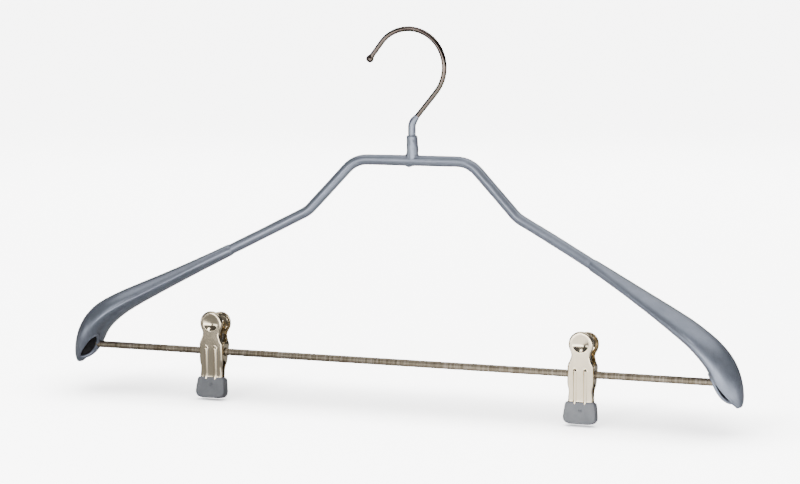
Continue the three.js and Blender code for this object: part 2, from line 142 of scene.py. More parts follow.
JAW_FACE = [(-2.6, -26.5), (-2.6, -15), (-5.3, 0), (-8.3, 25)]
JAW_SHEET = 0.8
JAW_TAB = {"radius": 7.25, "z": 16.9, "turn": math.radians(127)}
JAW_SIDE = [
    (5.3, 10.4), (6.3, 7.4), (7.65, 4.9), (7.65, -6.1), (6.75, -9.5), (7.3, -15), (7.1, -18), (5.2, -20),
]
JAW_GRID = 0.6
RIM_DEPTH = 2.2
ROLL = 1.1
EAR = {"reach": 3.5, "half_height": 5.9, "hole_radius": 2.6, "inner_x": 5.75}
DISH = {"radius": 4.8, "depth": 1.1, "rings": [0.01, 1, 2, 3, 3.8, 4.3, 4.6, 4.8, 5.0, 5.3]}
RIB = {
    "x": 3.0, "half_width": 1.0, "height": 0.8, "top": 1.5,
    "points_across": (-1, -0.75, -0.4, 0, 0.4, 0.75, 1), "points_along": (-18, 2.6, 0.45),
}
CLIP_SWING = math.radians(-10)
PIVOT_TUBE = {"radius": 2.93, "bore": 2.45, "length": 11, "edge": 0.12}
ROD_SIDES = 40
SPRING = {"wire": 0.5, "radius": 3.6, "pitch": 1.35, "turns": 4.5, "arm": 11, "lean": 0.12}
COIL_LENGTH = 2 * math.pi * SPRING["radius"] * SPRING["turns"]
SPRING_STEP = 0.25
SPRING_SIDES = 14
PAD = {"top": -15.6, "bottom": -28.4, "half_top": 8.75, "half_bottom": 10, "front": -3.4, "back": -0.2}
PAD_ROLL = {"front": 1.15, "back": 0.45}
PAD_NICK = 0.75
PAD_GRID = 0.8
DIMPLE = {
    "at": (0.6, -20.4), "radius": 1.3, "depth": 1.0, "rings": [0.01, 0.35, 0.7, 1.0, 1.25, 1.5, 1.8],
}

# ---- Looks ----

# The hook's nickel is a far darker copy of the clips' nickel: painted shade for the dim surroundings that
# the thin wire reflects.
HOOK_NICKEL_SHADED = (0.125, 0.10, 0.086)
CLIP_NICKEL = (0.78, 0.67, 0.49)

CAMERA = {
    "azimuth": 20.7, "pitch": 7.4, "roll": -0.5, "target": (-0.0012, 0, -0.1267), "distance": 1.203,
    "sensor": 36, "lens": 89.64, "shift": -0.01375,
}

# How bright the floor and surround look to the camera. Well in front of the hanger the floor goes over
# into the surround; under it lies a soft pool of shade. Distances here and below are in metres.
FLOOR_HALF = 30
FLOOR_GAP = 0.0006
FLOOR_SHOWN = 9.8
FLOOR_GOES = (0.75, 1.3)
POOL = {"middle": -0.022, "half_depth": 0.068, "half_length": 0.27, "fade": 0.1, "shade": 0.45}
SURROUND_SHOWN = 8.6

# How much light the floor throws back, from dull to bright, and where it becomes bright: to the right of
# a slanting edge, and in front of another.
FLOOR_FELT = (0.42, 3.1)
FELT_ACROSS = (-0.06, 0.12)
FELT_SLANT = 0.375
FELT_NEAR = (0.03, 0.08)

# The studio's own glow, from the ground at 0 to the ceiling at 1, and its lights.
STUDIO_GLOW = [(0.0, 0.10), (0.5, 0.05), (0.62, 0.06), (0.8, 0.12), (1.0, 0.2)]
STUDIO_TINT = (1, 0.98, 0.96)
SUN = {"power": 1.8, "spread": math.radians(80), "tilt": math.radians(-10)}

# Each light's name, place, aim, size and power.
AREA_LIGHTS = [
    ("front_strip", (0.3, -2.0, -0.02), (0.3, 0, -0.05), (2.8, 0.36), 21),
    ("key_box", (-0.6, -1.9, 1.0), (0, 0, -0.15), (0.45, 0.45), 5),
    ("back_box", (-0.3, 1.5, 0.9), (0, 0, -0.1), (2.0, 1.0), 3),
    ("left_box", (-1.5, -0.9, -0.1), (0.1, 0, -0.12), (1.0, 0.22), 2.6),
]

# The colour sockets of a Mix node.
MIX_A, MIX_B, MIX_RESULT = 6, 7, 2

# ---- Curves ----


def columns(x, y, z):
    """Rows of points from three columns, each an array or one number for all."""
    return np.stack(np.broadcast_arrays(x, y, z), axis=1).astype(float)


def circle(sides):
    """The cosines and sines of even steps round a circle."""
    angles = np.linspace(0, 2 * math.pi, sides, endpoint=False)
    return np.cos(angles), np.sin(angles)


def eased(part):
    """0 to 1 with a soft start and end."""
    return part * part * (3 - 2 * part)


def distances(points):
    """How far along the polyline each of its points lies."""
    return np.concatenate([[0], np.cumsum(np.linalg.norm(np.diff(points, axis=0), axis=1))])


def catmull_at(points, t):
    """Points at fractions t of a uniform Catmull-Rom curve."""
    p = np.asarray(points, float)
    last = len(p) - 1
    place = np.clip(t, 0, 1) * last
    i = np.minimum(place.astype(int), last - 1)
    w = (place - i)[:, None]
    before, here, there, after = p[np.maximum(i - 1, 0)], p[i], p[i + 1], p[np.minimum(i + 2, last)]
    leave, arrive = (there - before) / 2, (after - here) / 2
    return ((2 * here - 2 * there + leave + arrive) * w ** 3
            + (3 * there - 3 * here - 2 * leave - arrive) * w ** 2 + leave * w + here)


def smoothed(rows, sigma, closed=False):
    """Rows of points blurred along their order, with the ends held unless the order is closed."""
    reach = int(3 * sigma)
    kernel = np.exp(-0.5 * (np.arange(-reach, reach + 1) / sigma) ** 2)
    kernel /= kernel.sum()
    head = rows[-reach:] if closed else 2 * rows[0] - rows[reach:0:-1]
    tail = rows[:reach] if closed else 2 * rows[-1] - rows[-2:-reach - 2:-1]
    padded = np.concatenate([head, rows, tail])
    return np.stack([np.convolve(column, kernel, "valid") for column in padded.T], axis=1)


def resampled(points, step, closed=False):
    """The polyline at even steps."""
    p = np.asarray(points, float)
    if closed:
        p = np.concatenate([p, p[:1]])
    lengths = distances(p)
    count = max(int(round(lengths[-1] / step)), 2)
    places = np.linspace(0, lengths[-1], count + 1)
    if closed:
        places = places[:-1]
    return np.stack([np.interp(places, lengths, column) for column in p.T], axis=1)


def bent_path(corners, radius):
    """A flat path through corners, with a round bend at each inner one."""
    corners = np.asarray(corners, float)
    points = [corners[0]]
    for before, corner, after in zip(corners, corners[1:], corners[2:]):
        arrive = (corner - before) / np.linalg.norm(corner - before)
        leave = (after - corner) / np.linalg.norm(after - corner)
        turn = math.asin(arrive[0] * leave[1] - arrive[1] * leave[0])
        start = corner - arrive * radius * math.tan(abs(turn) / 2)
        centre = start + math.copysign(radius, turn) * np.array([-arrive[1], arrive[0]])
        spoke = start - centre
        for angle in np.linspace(0, turn, BEND_POINTS):
            c, s = math.cos(angle), math.sin(angle)
            points.append(centre + [c * spoke[0] - s * spoke[1], s * spoke[0] + c * spoke[1]])
    points.append(corners[-1])
    return np.array(points)


def sweep_at(x):
    """How far the frame has swept forward at x."""
    past = np.maximum(np.abs(x) - SWEEP["steady"], 0)
    reach = np.minimum(np.abs(x), SWEEP["steady"]) + SWEEP["fade"] * np.tanh(past / SWEEP["fade"])
    return -SWEEP["depth"] * (reach / SWEEP["reach"]) ** SWEEP["power"]


# ---- Meshes ----


def ring_faces(rows, sides, first=0):
    """Quads between rows of points that follow each other, each row a ring."""
    faces = []
    for row in range(rows - 1):
        low, high = first + row * sides, first + (row + 1) * sides
        for i in range(sides):
            j = (i + 1) % sides
            faces.append((low + i, low + j, high + j, high + i))
    return faces


def closing_faces(rows, sides, shift=0):
    """Quads that join the last ring of points back to the first, which may be turned by a shift."""
    last = (rows - 1) * sides
    faces = []
    for i in range(sides):
        j = (i + 1) % sides
        faces.append((last + i, last + j, (j + shift) % sides, (i + shift) % sides))
    return faces


def lofted(rings):
    """A closed surface through rings of points, each end closed by a fan."""
    rings = np.asarray(rings, float)
    rows, sides = rings.shape[:2]
    points = np.concatenate([rings.reshape(-1, 3), [rings[0].mean(axis=0)], [rings[-1].mean(axis=0)]])
    faces = ring_faces(rows, sides)
    start, end, last = rows * sides, rows * sides + 1, (rows - 1) * sides
    for i in range(sides):
        j = (i + 1) % sides
        faces.append((start, j, i))
        faces.append((end, last + i, last + j))
    return points, faces


def tube(path, radii, sides):
    """Rings round a path in space, turned as little as possible on the way."""
    path = np.asarray(path, float)
    radii = np.broadcast_to(radii, len(path))
    ways = np.gradient(path, axis=0)
    ways /= np.linalg.norm(ways, axis=1)[:, None]
    side = np.cross(ways[0], [0, 1, 0] if abs(ways[0][1]) < 0.9 else [1, 0, 0])
    c, s = circle(sides)
    rings = []
    for point, way, radius in zip(path, ways, radii):
        side = side - way * side.dot(way)
        side /= np.linalg.norm(side)
        up = np.cross(way, side)
        rings.append(point + radius * (c[:, None] * side + s[:, None] * up))
    return np.array(rings)


def linked_object(name, data):
    """A new object in the scene."""
    obj = bpy.data.objects.new(name, data)
    bpy.context.scene.collection.objects.link(obj)
    return obj


def mesh_object(name, points, faces, height=SEAT_HEIGHT):
    """An object from points in millimetres, with its faces turned outward."""
    mesh = bpy.data.meshes.new(name)
    placed = (np.asarray(points, float) - [0, 0, height]) * MM
    mesh.from_pydata(placed.tolist(), [], [tuple(int(i) for i in f) for f in faces])
    bm = bmesh.new()
    bm.from_mesh(mesh)
    bmesh.ops.remove_doubles(bm, verts=bm.verts, dist=1e-7)
    bmesh.ops.recalc_face_normals(bm, faces=bm.faces)
    bm.to_mesh(mesh)
    bm.free()
    return linked_object(name, mesh)


def apply_modifiers(obj):
    """Replaces the object's mesh with what its modifiers make of it."""
    graph = bpy.context.evaluated_depsgraph_get()
    mesh = bpy.data.meshes.new_from_object(obj.evaluated_get(graph))
    obj.modifiers.clear()
    obj.data = mesh


def combine(obj, other, operation):
    """Joins the other object to this one, or cuts it away, and removes the other."""
    cut = obj.modifiers.new("combine", "BOOLEAN")
    cut.operation = operation
    cut.solver = "MANIFOLD"
    cut.object = other
    apply_modifiers(obj)
    bpy.data.objects.remove(other)


def rounded_edges(obj, width, angle=50):
    """Rounds the edges sharper than the angle, by a width in millimetres."""
    bevel = obj.modifiers.new("edges", "BEVEL")
    bevel.width = width * MM
    bevel.segments = 2
    bevel.angle_limit = math.radians(angle)
    bevel.use_clamp_overlap = True
    apply_modifiers(obj)


def shade(obj, angle=40):
    """Smooth shading, with edges sharper than the angle kept crisp."""
    bm = bmesh.new()
    bm.from_mesh(obj.data)
    for face in bm.faces:
        face.smooth = True
    for edge in bm.edges:
        edge.smooth = len(edge.link_faces) == 2 and edge.calc_face_angle(0) < math.radians(angle)
    bm.to_mesh(obj.data)
    bm.free()


def finished(obj, material, body, nodes, angle=40):
    """Gives a piece its shading, material, body, and the CAD nodes that it stands for."""
    shade(obj, angle)
    if not any(obj.data.materials):
        obj.data.materials.clear()
        obj.data.materials.append(material)
    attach(obj, body)
    if nodes:
        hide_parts(*nodes)
    return obj


def mirrored_copy(obj, name):
    """The object's mirror image across X = 0."""
    copy = linked_object(name, obj.data.copy())
    copy.data.transform(Matrix.Scale(-1, 4, (1, 0, 0)))
    copy.data.flip_normals()
    return copy


# ---- Materials ----


def node_output(tree, kind, output, inputs, **settings):
    """One output of a new node, whose inputs are plain values or other nodes' outputs."""
    node = tree.nodes.new(kind)
    for name, value in settings.items():
        setattr(node, name, value)
    for socket, value in inputs.items():
        if isinstance(value, bpy.types.NodeSocket):
            tree.links.new(value, node.inputs[socket])
        else:
            node.inputs[socket].default_value = value
    return node.outputs[output]


def ramp_output(tree, value, stops):
    """The colour that a value picks from a ramp of (place, colour) stops."""
    node = tree.nodes.new("ShaderNodeValToRGB")
    elements = node.color_ramp.elements
    while len(elements) < len(stops):
        elements.new(0.5)
    for element, (place, colour) in zip(elements, stops):
        element.position = place
        element.color = (*colour, 1)
    tree.links.new(value, node.inputs["Fac"])
    return node.outputs["Color"]


class Shader:
    """A Principled material whose nodes read the object's own coordinates."""

    def __init__(self, name, **values):
        self.material = bpy.data.materials.new(name)
        self.material.use_nodes = True
        self.tree = self.material.node_tree
        self.principled = self.tree.nodes["Principled BSDF"]
        self.coordinates = self.tree.nodes.new("ShaderNodeTexCoord").outputs["Object"]
        for socket, value in values.items():
            self.principled.inputs[socket.replace("_", " ")].default_value = value

    def noise(self, scale, detail=3.0, stretch=(1, 1, 1), roughness=0.55):
        """Noise whose grain is about 1 / scale metres."""
        mapping = {"Vector": self.coordinates, "Scale": stretch}
        place = node_output(self.tree, "ShaderNodeMapping", "Vector", mapping)
        inputs = {"Vector": place, "Scale": scale, "Detail": detail, "Roughness": roughness}
        return node_output(self.tree, "ShaderNodeTexNoise", "Fac", inputs)

    def ramp(self, value, stops):
        return ramp_output(self.tree, value, stops)

    def multiplied(self, first, second):
        inputs = {"Factor": 1.0, MIX_A: first, MIX_B: second}
        settings = {"data_type": "RGBA", "blend_type": "MULTIPLY"}
        return node_output(self.tree, "ShaderNodeMix", MIX_RESULT, inputs, **settings)

    def ranged(self, value, low, high):
        """Noise, mostly 0.3 to 0.7, carried to low..high."""
        inputs = {"Value": value, "From Min": 0.3, "From Max": 0.7, "To Min": low, "To Max": high}
        return node_output(self.tree, "ShaderNodeMapRange", "Result", inputs)

    def bump(self, height, depth, after=None):
        """A bump whose full height is depth in metres, on top of an earlier one if given."""
        inputs = {"Strength": 1.0, "Distance": depth, "Height": height}
        if after is not None:
            inputs["Normal"] = after
        return node_output(self.tree, "ShaderNodeBump", "Normal", inputs)

    def join(self, output, socket):
        self.tree.links.new(output, self.principled.inputs[socket])


def coating_material():
    """Satin silver-grey dipped coating, a little mottled and wavy."""
    s = Shader("coating", Metallic=0.65, Specular_IOR_Level=0.5)
    mottle = s.ramp(s.noise(120, 4), [(0.3, (0.235, 0.262, 0.325)), (0.72, (0.285, 0.315, 0.385))])
    specks = s.ramp(s.noise(2600, 2), [(0.3, (0.8, 0.8, 0.8)), (0.5, (1, 1, 1))])
    s.join(s.multiplied(mottle, specks), "Base Color")
    s.join(s.ranged(s.noise(300, 3), 0.30, 0.38), "Roughness")
    waves = s.bump(s.noise(70, 2), 0.00012)
    s.join(s.bump(s.noise(2200, 2), 0.000004, waves), "Normal")
    return s.material


def inside_material():
    """Near-black painted shade for the inside of a shoulder, standing in for the dark of the closed hollow.
    """
    s = Shader("shoulder_inside_painted_shade", Metallic=0.0, Specular_IOR_Level=0.2)
    # Painted shade: the hollow's faces get a near-black colour in place of the darkness the light would give
    # them.
    painted_shade = s.ramp(s.noise(180, 4), [(0.3, (0.012, 0.012, 0.013)), (0.7, (0.035, 0.035, 0.038))])
    s.join(painted_shade, "Base Color")
    s.join(s.ranged(s.noise(400, 3), 0.6, 0.8), "Roughness")
    s.join(s.bump(s.noise(900, 3), 0.00003), "Normal")
    return s.material


def nickel_material(name, colour):
    """Warm polished nickel plate with a faint haze from handling."""
    s = Shader(name, Metallic=1.0)
    worn = tuple(0.86 * c for c in colour)
    tint = s.ramp(s.noise(60, 3), [(0.3, worn), (0.7, colour)])
    specks = s.ramp(s.noise(1500, 2), [(0.24, (0.55, 0.50, 0.42)), (0.32, (1, 1, 1))])
    s.join(s.multiplied(tint, specks), "Base Color")
    s.join(s.ranged(s.noise(150, 3), 0.10, 0.17), "Roughness")
    s.join(s.bump(s.noise(160, 1), 0.000005), "Normal")
    return s.material


def bar_material():
    """Dull plated rod with fine ribs and stains across it."""
    s = Shader("ribbed_bar", Metallic=0.85)
    streaks = s.ramp(
        s.noise(1, 5, (700, 20, 20), 0.75),
        [(0.34, (0.12, 0.098, 0.07)), (0.5, (0.26, 0.22, 0.165)), (0.66, (0.43, 0.38, 0.305))],
    )
    grime = s.ramp(s.noise(90, 3), [(0.35, (0.75, 0.72, 0.66)), (0.65, (1, 1, 1))])
    s.join(s.multiplied(streaks, grime), "Base Color")
    s.join(s.ranged(s.noise(1, 3, (900, 20, 20)), 0.38, 0.5), "Roughness")
    s.join(s.bump(s.noise(1, 3, (1300, 30, 30)), 0.00005), "Normal")
    return s.material


def steel_material():
    """Drawn spring steel, dull grey."""
    s = Shader("spring_steel", Metallic=1.0)
    s.join(s.ramp(s.noise(300, 4), [(0.3, (0.22, 0.21, 0.19)), (0.7, (0.38, 0.36, 0.33))]), "Base Color")
    s.join(s.ranged(s.noise(700, 3), 0.28, 0.42), "Roughness")
    s.join(s.bump(s.noise(2500, 2), 0.000004), "Normal")
    return s.material


def vinyl_material():
    """Satin grey dipped vinyl with a fine grain and a little dust."""
    s = Shader("pad_vinyl", Metallic=0.0, Specular_IOR_Level=0.5)
    tone = s.ramp(s.noise(200, 4), [(0.3, (0.175, 0.185, 0.205)), (0.7, (0.22, 0.23, 0.252))])
    dust = s.ramp(s.noise(1500, 4), [(0.58, (1, 1, 1)), (0.78, (1.2, 1.2, 1.2))])
    s.join(s.multiplied(tone, dust), "Base Color")
    s.join(s.ranged(s.noise(500, 3), 0.36, 0.5), "Roughness")
    grain = s.bump(s.noise(1800, 3), 0.00001)
    s.join(s.bump(s.noise(220, 2), 0.00008, grain), "Normal")
    return s.material


# ---- Hook ----


def hook_point(angle):
    """Points on the hook's round part, in the XZ plane."""
    return np.add(HOOK_CENTRE, HOOK_RADIUS * np.stack([np.cos(angle), np.sin(angle)], axis=-1))


def hook_path():
    """The middle of the hook's wire, from its ball to its foot."""
    round_part = hook_point(np.linspace(*HOOK_ANGLES, 120))
    stem = bent_path([round_part[-1], STEM_BEND, (0, STEM_FOOT)], STEM_BEND_RADIUS)
    tip = np.asarray(HOOK_TIP)
    outward = (tip - round_part[0]) / np.linalg.norm(tip - round_part[0])
    flat = np.concatenate([[tip + outward * HOOK_BALL_RADIUS], round_part, stem[1:]])
    flat = smoothed(resampled(flat, HOOK_STEP), HOOK_EASING)
    return columns(flat[:, 0], 0, flat[:, 1])


def hook_radii(path):
    """The wire's radius along the path, swelling to the ball at the tip."""
    along = distances(path) - HOOK_BALL_RADIUS
    past = along - HOOK_FILLET["from"]
    ball = np.sqrt(np.maximum(HOOK_BALL_RADIUS ** 2 - along ** 2, 0.0004))
    fillet = HOOK_FILLET["height"] * np.exp(-np.maximum(past, 0) / HOOK_FILLET["length"])
    return np.where(past < 0, ball, np.minimum(HOOK_WIRE_RADIUS + fillet, HOOK_BALL_RADIUS))


def hook():
    path = hook_path()
    return mesh_object("hook", *lofted(tube(path, hook_radii(path), WIRE_SIDES)))


def stem_sleeve():
    """The coating on the stem, running out thin up the wire."""
    slant = hook_point(HOOK_ANGLES[1]) - STEM_BEND
    slant /= np.linalg.norm(slant)
    end = STEM_BEND + slant * (SLEEVE["top"] - STEM_BEND[1])
    corners = [(0, SLEEVE["bottom"]), STEM_BEND, end]
    flat = resampled(bent_path(corners, STEM_BEND_RADIUS), SLEEVE["step"])
    left = (len(flat) - 1 - np.arange(len(flat))) * SLEEVE["step"]
    thinnest = HOOK_WIRE_RADIUS + SLEEVE["edge"]
    radii = thinnest + (SLEEVE["radius"] - thinnest) * (1 - np.exp(-((left / SLEEVE["run_out"]) ** 1.5)))
    rings = tube(columns(flat[:, 0], 0, flat[:, 1]), radii, WIRE_SIDES)
    return mesh_object("stem_sleeve", *lofted(rings))


# ---- Frame ----


def arm_direction():
    """The way the straight stretch of the frame runs into the right collar, in the XZ plane."""
    arm = np.subtract(COLLAR, LOWER_BEND)
    return arm / np.linalg.norm(arm)


def frame_path():
    """The middle of the frame's wire, from one shoulder to the other."""
    end = tuple(np.add(COLLAR, arm_direction() * FRAME_PAST_COLLAR))
    right = [UPPER_BEND, LOWER_BEND, end]
    left = [(-x, z) for x, z in reversed(right)]
    x, z = resampled(bent_path(left + right, BEND_RADIUS), FRAME_STEP).T
    return columns(x, sweep_at(x), z)


def frame_tube():
    """The coated wire, with the coating's slow unevenness and a hardened drip under the neck."""
    path = frame_path()
    along = np.arange(len(path)) * FRAME_STEP
    waves = np.sin(along / COAT_WAVES["short"]) * np.sin(along / COAT_WAVES["long"] + 1)
    rings = tube(path, FRAME_RADIUS + COAT_WAVES["height"] * waves, FRAME_SIDES)
    down = np.clip((path[:, None, 2] - rings[:, :, 2]) / FRAME_RADIUS, 0, 1)
    near = np.exp(-((rings[:, :, 0] - DRIP["x"]) / DRIP["width"]) ** 2)
    rings[:, :, 2] -= DRIP["depth"] * near * down ** 4
    return mesh_object("frame_coating", *lofted(rings))


def neck_radius(angles, z):
    """The neck's radius at a height: run down to one side, with one crease and a slight ripple."""
    down = 1 - (z - NECK["flare_top"]) / (NECK["top"] - NECK["flare_top"])
    run = NECK_RUN * down * np.clip(np.cos(angles), 0, 1) ** 2
    at_crease = np.exp(-((angles - NECK_CREASE["angle"]) / NECK_CREASE["width"]) ** 2)
    crease = NECK_CREASE["height"] * at_crease * math.sin(z * NECK_CREASE["turning"])
    return NECK["radius"] + run + crease + NECK_RIPPLE * np.sin(3 * angles + z)


def neck():
    """The sleeve that the hook turns in, flowing down onto the frame's top bar."""
    radius, top, edge = NECK["radius"], NECK["top"], NECK["edge"]
    angles = np.linspace(0, 2 * math.pi, NECK["sides"], endpoint=False)
    c, s = np.cos(angles), np.sin(angles)
    rings = [columns(0.9 * c, 0.9 * s, top)]
    for turn in np.linspace(0, math.pi / 2, 6):
        r = radius - edge + edge * math.sin(turn)
        rings.append(columns(r * c, r * s, top - edge + edge * math.cos(turn)))
    for z in np.linspace(top - edge - 0.5, NECK["flare_top"], 14):
        r = neck_radius(angles, z)
        rings.append(columns(r * c, r * s, z))
    start = rings[-1]
    foot_y = (FRAME_RADIUS - 0.15) * s
    foot_z = np.sqrt(FRAME_RADIUS ** 2 - foot_y ** 2) - 0.03
    foot = columns((radius + NECK["flare"]) * c, foot_y, foot_z)
    bend = columns((radius + 0.05) * c, (radius - 0.1) * s, foot_z + 0.15)
    for w in np.linspace(0.12, 1, 9):
        rings.append((1 - w) ** 2 * start + 2 * w * (1 - w) * bend + w ** 2 * foot)
    rings.append(columns(2.4 * c, 1.8 * s, 0))
    return mesh_object("neck", *lofted(rings))


# ---- Shoulders ----


def rails(t):
    """The shoulder's upper and lower rail points and half width at fractions t of its length.

    Below 0 the rails run on straight, past the collar.
    """
    dense = np.linspace(0, 1, RAIL_SAMPLES)
    found = []
    for points in (SHOULDER_TOP, SHOULDER_UNDERSIDE, [(w, 0) for w in SHOULDER_HALF_WIDTH]):
        curve = smoothed(catmull_at(points, dense), RAIL_EASING)
        inside = np.stack([np.interp(t, dense, column) for column in curve.T], axis=1)
        way = (curve[1] - curve[0]) / np.linalg.norm(curve[1] - curve[0])
        found.append(inside + np.minimum(t, 0)[:, None] * SHOULDER_LENGTH * way)
    return found[0], found[1], np.maximum(found[2][:, 0], COLLAR_HALF_WIDTH * (t < 0.02))


def squared(value, sharpness):
    """A cosine or sine of a circle, moved out towards those of a rounded square."""
    return math.copysign(1, value) * abs(value) ** (2 / sharpness)


def shoulder_form(inset, start, end, stations, sides, round_collar=False):
    """Rings of the right shoulder's closed form, shrunk all round by inset."""
    t = np.concatenate([
        np.linspace(start, TIP_FROM, stations)[:-1], np.linspace(TIP_FROM, end, TIP_STATIONS),
    ])
    upper, lower, half_width = rails(t)
    height = np.linalg.norm(upper - lower, axis=1)
    upward = (upper - lower) / height[:, None]
    formed = eased(np.clip(t / ROUND_UNTIL, 0, 1))
    widest_level = 0.5 + (WIDEST_LEVEL - 0.5) * formed
    widest = lower + upward * (widest_level * height)[:, None]
    near_tip = np.clip((t - TIP_CLOSES) / (end - TIP_CLOSES + 1e-9), 0, 1)
    taper = np.sqrt(np.maximum(1 - near_tip ** 2, 0.0009))
    at_collar = np.exp(-np.maximum(t, 0) * SHOULDER_LENGTH / COLLAR_EDGE["length"])
    shrink = inset + round_collar * COLLAR_EDGE["depth"] * at_collar
    near_end = np.clip((t - SQUARE_UNTIL) / (1 - SQUARE_UNTIL), 0, 1)
    sharpness = 2 - SQUARENESS * formed * (1 - near_end)
    rings = []
    for c, s in zip(*circle(sides)):
        rise = (1 - widest_level if c > 0 else widest_level) * height
        depth = squared(s, sharpness) * np.maximum(half_width - shrink, 0.3) * taper
        level = squared(c, sharpness) * np.maximum(rise - shrink, 0.2) * taper
        flat = widest + upward * level[:, None]
        flat = flat + ((1 - formed) * depth * COLLAR_SKEW)[:, None] * arm_direction()
        rings.append(columns(flat[:, 0], sweep_at((upper[:, 0] + lower[:, 0]) / 2) + depth, flat[:, 1]))
    return np.array(rings).transpose(1, 0, 2)


def mouth_loop(form):
    """The rim of the mouth as a smooth loop on the form's surface, with the surface's normals."""
    rim = np.array(MOUTH_RIM)
    wrapped = np.concatenate([rim[-2:], rim, rim[:3]])
    t = (2 + np.linspace(0, len(rim), MOUTH_POINTS, endpoint=False)) / (len(wrapped) - 1)
    tree = BVHTree.FromObject(form, bpy.context.evaluated_depsgraph_get())
    places, normals = [], []
    for point in catmull_at(wrapped, t):
        place, normal, _, _ = tree.find_nearest(Vector((point - [0, 0, SEAT_HEIGHT]) * MM))
        places.append(np.array(place) / MM + [0, 0, SEAT_HEIGHT])
        normals.append(np.array(normal))
    return smoothed(np.array(places), 2.5, closed=True), smoothed(np.array(normals), 4, closed=True)


def mouth_cutter(loop):
    """A cone from inside the shoulder out through the mouth's rim."""
    apex = np.array(MOUTH_APEX)
    outer = apex + (loop - apex) * MOUTH_CUTTER_REACH
    sides = len(loop)
    points = np.concatenate([outer, [apex], [outer.mean(axis=0)]])
    faces = [(sides, (i + 1) % sides, i) for i in range(sides)]
    faces += [(sides + 1, i, (i + 1) % sides) for i in range(sides)]
    return mesh_object("mouth", points, faces)


def rolled_lip(loop, normals):
    """The round bead along the mouth's rim, thin at the front edge and full at the back."""
    centre = loop - normals * LIP_SUNK
    backness = np.clip((loop[:, 1] - LIP_GROWS["from_y"]) / LIP_GROWS["over"], 0, 1)
    radii = LIP_RADIUS[0] + (LIP_RADIUS[1] - LIP_RADIUS[0]) * backness
    closed = np.concatenate([centre[-2:], centre, centre[:3]])
    rings = tube(closed, np.concatenate([radii[-2:], radii, radii[:3]]), LIP_SIDES)[2:-3]
    count, sides = rings.shape[:2]
    shift = int(np.argmin(np.linalg.norm(rings[0] - rings[-1][0], axis=1)))
    faces = ring_faces(count, sides) + closing_faces(count, sides, shift)
    return mesh_object("lip", rings.reshape(-1, 3), faces)


def droop(shoulder):
    """The right tip hangs a little lower than the left one."""
    for vertex in shoulder.data.vertices:
        part = min(max((vertex.co.x / MM - DROOP["from"]) / DROOP["over"], 0), 1)
        vertex.co.z -= DROOP["depth"] * MM * eased(part)


def mark_inside(shoulder, outer):
    """Gives the second material, the painted shade of the hollow, to the faces that lie well under the outer
    surface.
    """
    for polygon in shoulder.data.polygons:
        distance = outer.find_nearest(polygon.center)[3]
        polygon.material_index = int(distance > 0.8 * WALL * MM)


def right_shoulder(coating, inside):
    """The hollow shoulder with its collar, mouth and rolled lip."""
    shoulder = mesh_object("right_shoulder", *lofted(shoulder_form(0, **OUTER_MESH, round_collar=True)))
    loop, normals = mouth_loop(shoulder)
    outer = BVHTree.FromObject(shoulder, bpy.context.evaluated_depsgraph_get())
    hollow = mesh_object("hollow", *lofted(shoulder_form(WALL, **HOLLOW_MESH)))
    combine(shoulder, hollow, "DIFFERENCE")
    combine(shoulder, mouth_cutter(loop), "DIFFERENCE")
    combine(shoulder, rolled_lip(loop, normals), "UNION")
    shoulder.data.materials.clear()
    for material in (coating, inside):
        shoulder.data.materials.append(material)
    mark_inside(shoulder, outer)
    return shoulder


# ---- Bar ----


def clip_bar():
    """The rod between the shoulders, finely and unevenly ribbed across."""
    low, high = (np.array(corner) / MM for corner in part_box("clip_bar"))
    centre, half_length, radius = (low + high) / 2, (high[0] - low[0]) / 2, (high[2] - low[2]) / 2
    x = np.arange(-half_length, half_length + BAR["step"] / 2, BAR["step"])
    rng = np.random.default_rng(SEED)
    rough = smoothed(rng.normal(size=(len(x), 1)), 1.0)[:, 0]
    radii = radius - BAR["undercut"] + BAR["ribs"] * np.clip(rough, -1, 1)
    radii[[0, -1]] -= BAR["chamfer"]
    c, s = circle(BAR["sides"])
    rings = [columns(at, r * c, r * s) + centre for at, r in zip(x, radii)]
    return mesh_object("ribbed_bar", *lofted(rings), height=0)


# ---- Clips ----


def face_depth(z):
    """The jaw's face: its depth at each height, with its bends eased."""
    dense = np.linspace(-28, 26, 217)
    depths = np.interp(dense, [p[1] for p in JAW_FACE], [p[0] for p in JAW_FACE])
    return np.interp(z, dense, smoothed(depths[:, None], 5)[:, 0])


def jaw_outline():
    """The jaw from the front as a smooth loop, clockwise from the top of its tab, at even steps."""
    tab = [
        (JAW_TAB["radius"] * math.cos(a), JAW_TAB["z"] + JAW_TAB["radius"] * math.sin(a))
        for a in np.linspace(math.pi / 2, math.pi / 2 - JAW_TAB["turn"], 24)
    ]
    right = tab + JAW_SIDE
    left = [(-x, z) for x, z in reversed(right)]
    return smoothed(resampled(right + left[:-1], 0.4, closed=True), 1.8, closed=True)


def inset_loop(loop, distance):
    """The loop drawn in towards its middle by a distance at its sides and ends."""
    middle = (loop.max(axis=0) + loop.min(axis=0)) / 2
    half = (loop.max(axis=0) - loop.min(axis=0)) / 2
    return middle + (loop - middle) * (1 - distance / half)


def filled(loop, extra, spacing):
    """Triangles inside a loop, over the extra points and an even grid between them."""
    low, high = loop.min(axis=0), loop.max(axis=0)
    grid = np.meshgrid(*(np.arange(start, stop, spacing) for start, stop in zip(low, high)))
    grid = np.stack(grid, axis=-1).reshape(-1, 2)
    fixed = np.concatenate([loop, extra])
    nearest = np.min(np.linalg.norm(grid[:, None] - fixed[None], axis=2), axis=1)
    points = np.concatenate([fixed, grid[nearest > 0.6 * spacing]])
    found = delaunay_2d_cdt([Vector(p) for p in points], [], [list(range(len(loop)))], 1, 1e-5)
    return np.array([tuple(p) for p in found[0]]), [tuple(f) for f in found[2]]


